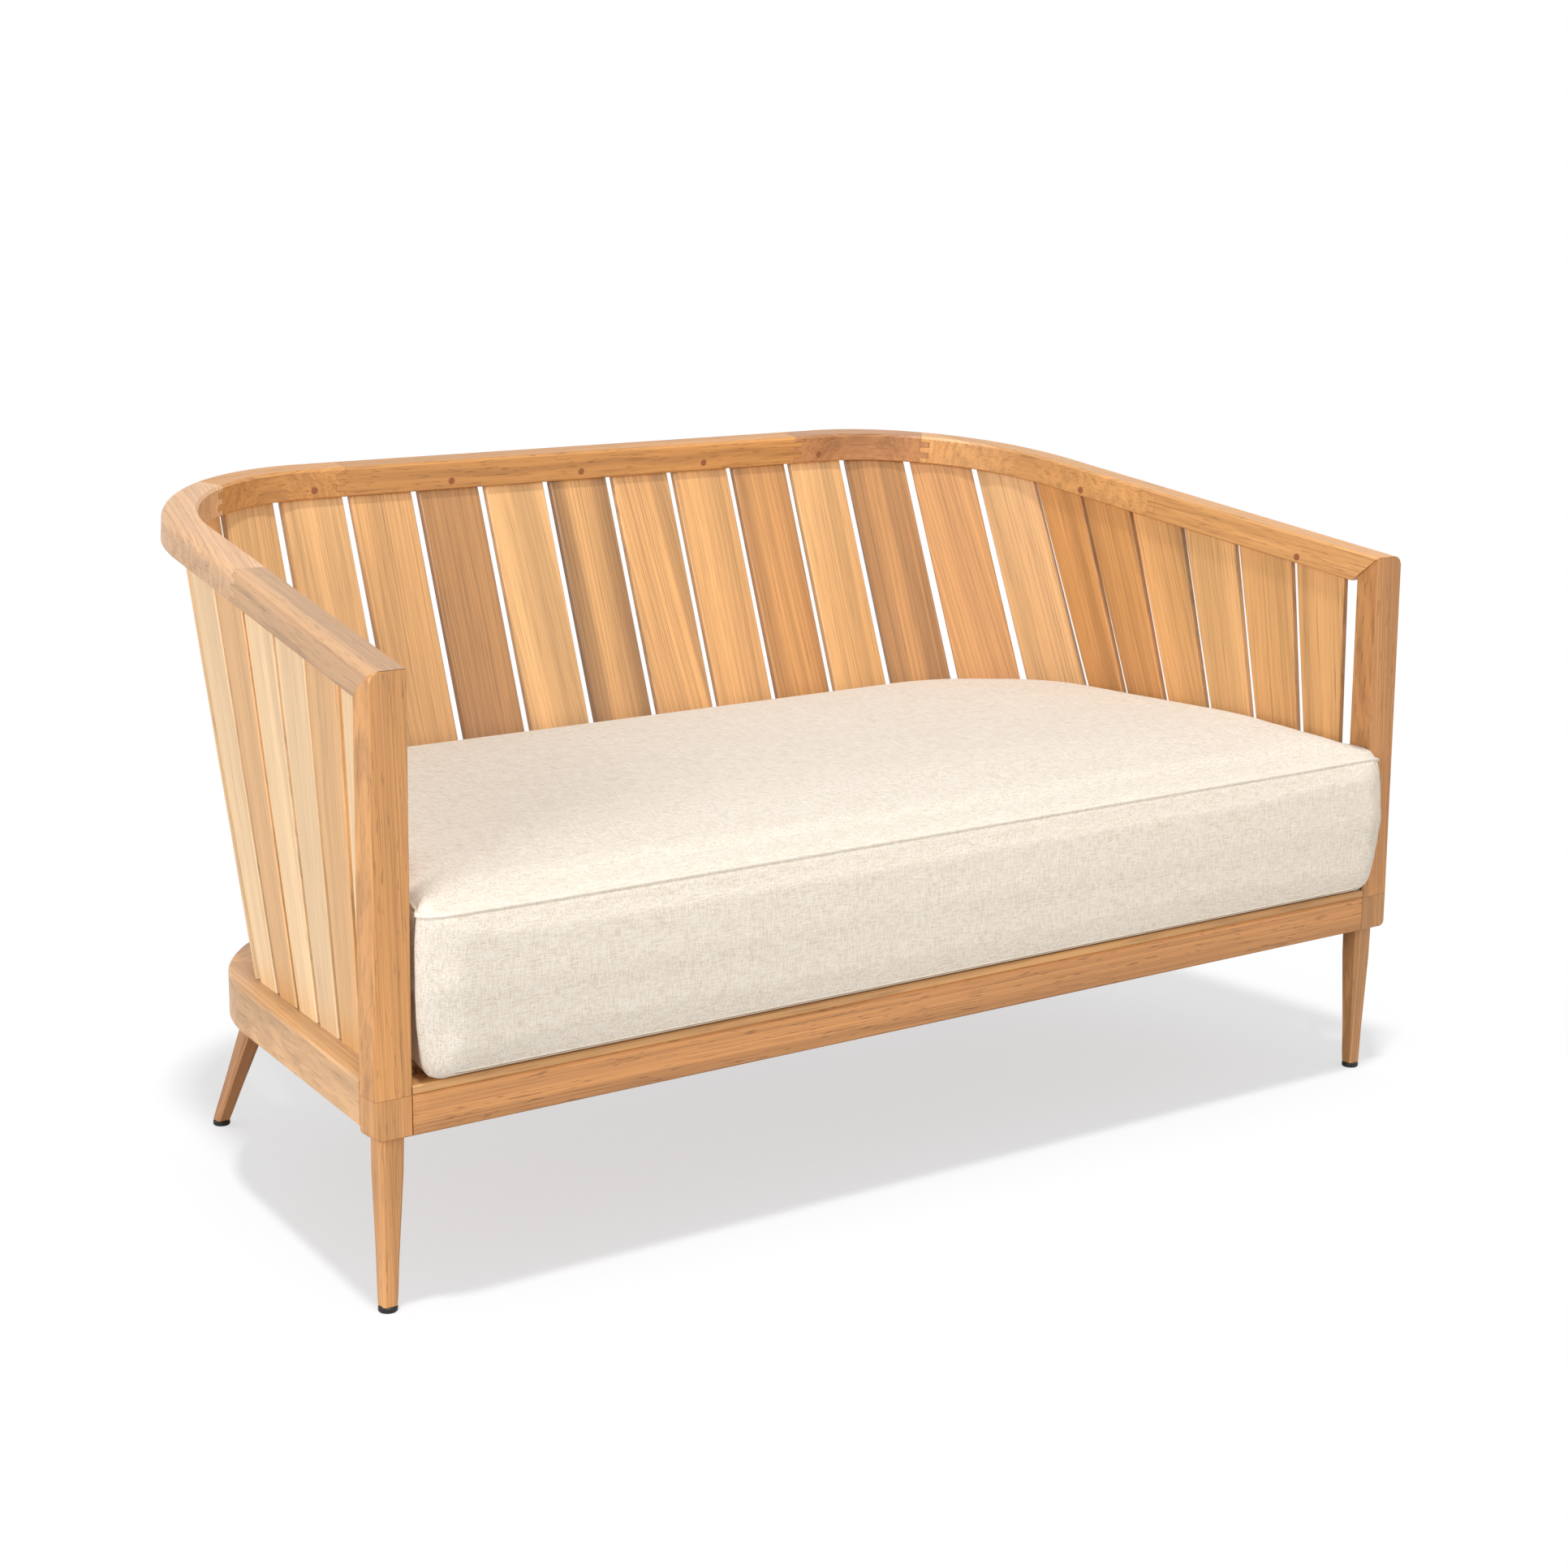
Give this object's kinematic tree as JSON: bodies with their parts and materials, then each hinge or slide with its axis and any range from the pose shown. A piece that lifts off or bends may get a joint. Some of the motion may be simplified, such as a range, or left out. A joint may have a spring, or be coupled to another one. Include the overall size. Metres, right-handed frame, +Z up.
{
  "type": "patio loveseat",
  "caption": "Outdoor wooden loveseat with a curved rising top rail, raked slats wrapping the back and arms, tapered splayed legs and one thick loose seat cushion.",
  "frame": {"origin": "on the floor, midway between the front face of the posts and the back of the top rail, on the middle line between the arms", "axes": "+X to the right of someone facing the front, +Y to the back, +Z up"},
  "size_m": [1.4234, 0.794, 0.7603],
  "materials": {
    "teak_frame": "satin",
    "teak_slat": "satin",
    "glide_plastic": "satin",
    "cushion_fabric": "matte"
  },
  "bodies": {
    "frame": {"apron": "teak_frame", "arm_post_left": "teak_frame", "arm_post_right": "teak_frame", "bearer_left": "teak_frame", "bearer_middle": "teak_frame", "bearer_right": "teak_frame", "deck_board_1": "teak_frame", "deck_board_2": "teak_frame", "deck_board_3": "teak_frame", "deck_board_4": "teak_frame", "deck_board_5": "teak_frame", "frame_tenons": "teak_frame", "front_leg_left": "teak_frame", "front_leg_right": "teak_frame", "glides": "glide_plastic", "rail_arm_left": "teak_frame", "rail_arm_right": "teak_frame", "rail_back": "teak_frame", "rail_corner_front_left": "teak_frame", "rail_corner_front_right": "teak_frame", "rail_corner_rear_left": "teak_frame", "rail_corner_rear_right": "teak_frame", "rear_leg_left": "teak_frame", "rear_leg_right": "teak_frame", "ring_back": "teak_frame", "ring_corner_left": "teak_frame", "ring_corner_right": "teak_frame", "ring_side_left": "teak_frame", "ring_side_right": "teak_frame", "seat_front_strip": "teak_frame", "slat_arm_left_1": "teak_slat", "slat_arm_left_2": "teak_slat", "slat_arm_left_3": "teak_slat", "slat_arm_left_4": "teak_slat", "slat_arm_left_5": "teak_slat", "slat_arm_left_6": "teak_slat", "slat_arm_right_1": "teak_slat", "slat_arm_right_2": "teak_slat", "slat_arm_right_3": "teak_slat", "slat_arm_right_4": "teak_slat", "slat_arm_right_5": "teak_slat", "slat_arm_right_6": "teak_slat", "slat_back_left_1": "teak_slat", "slat_back_left_2": "teak_slat", "slat_back_left_3": "teak_slat", "slat_back_middle": "teak_slat", "slat_back_right_1": "teak_slat", "slat_back_right_2": "teak_slat", "slat_back_right_3": "teak_slat", "slat_corner_left_1": "teak_slat", "slat_corner_left_2": "teak_slat", "slat_corner_left_3": "teak_slat", "slat_corner_left_4": "teak_slat", "slat_corner_right_1": "teak_slat", "slat_corner_right_2": "teak_slat", "slat_corner_right_3": "teak_slat", "slat_corner_right_4": "teak_slat"},
    "cushion": {"seat_cushion": "cushion_fabric"}
  },
  "joints": [
    {"name": "cushion_lift", "type": "slide", "parent": "frame", "child": "cushion", "axis": [0, 0, 1], "range_m": [0, 0.55]}
  ]
}
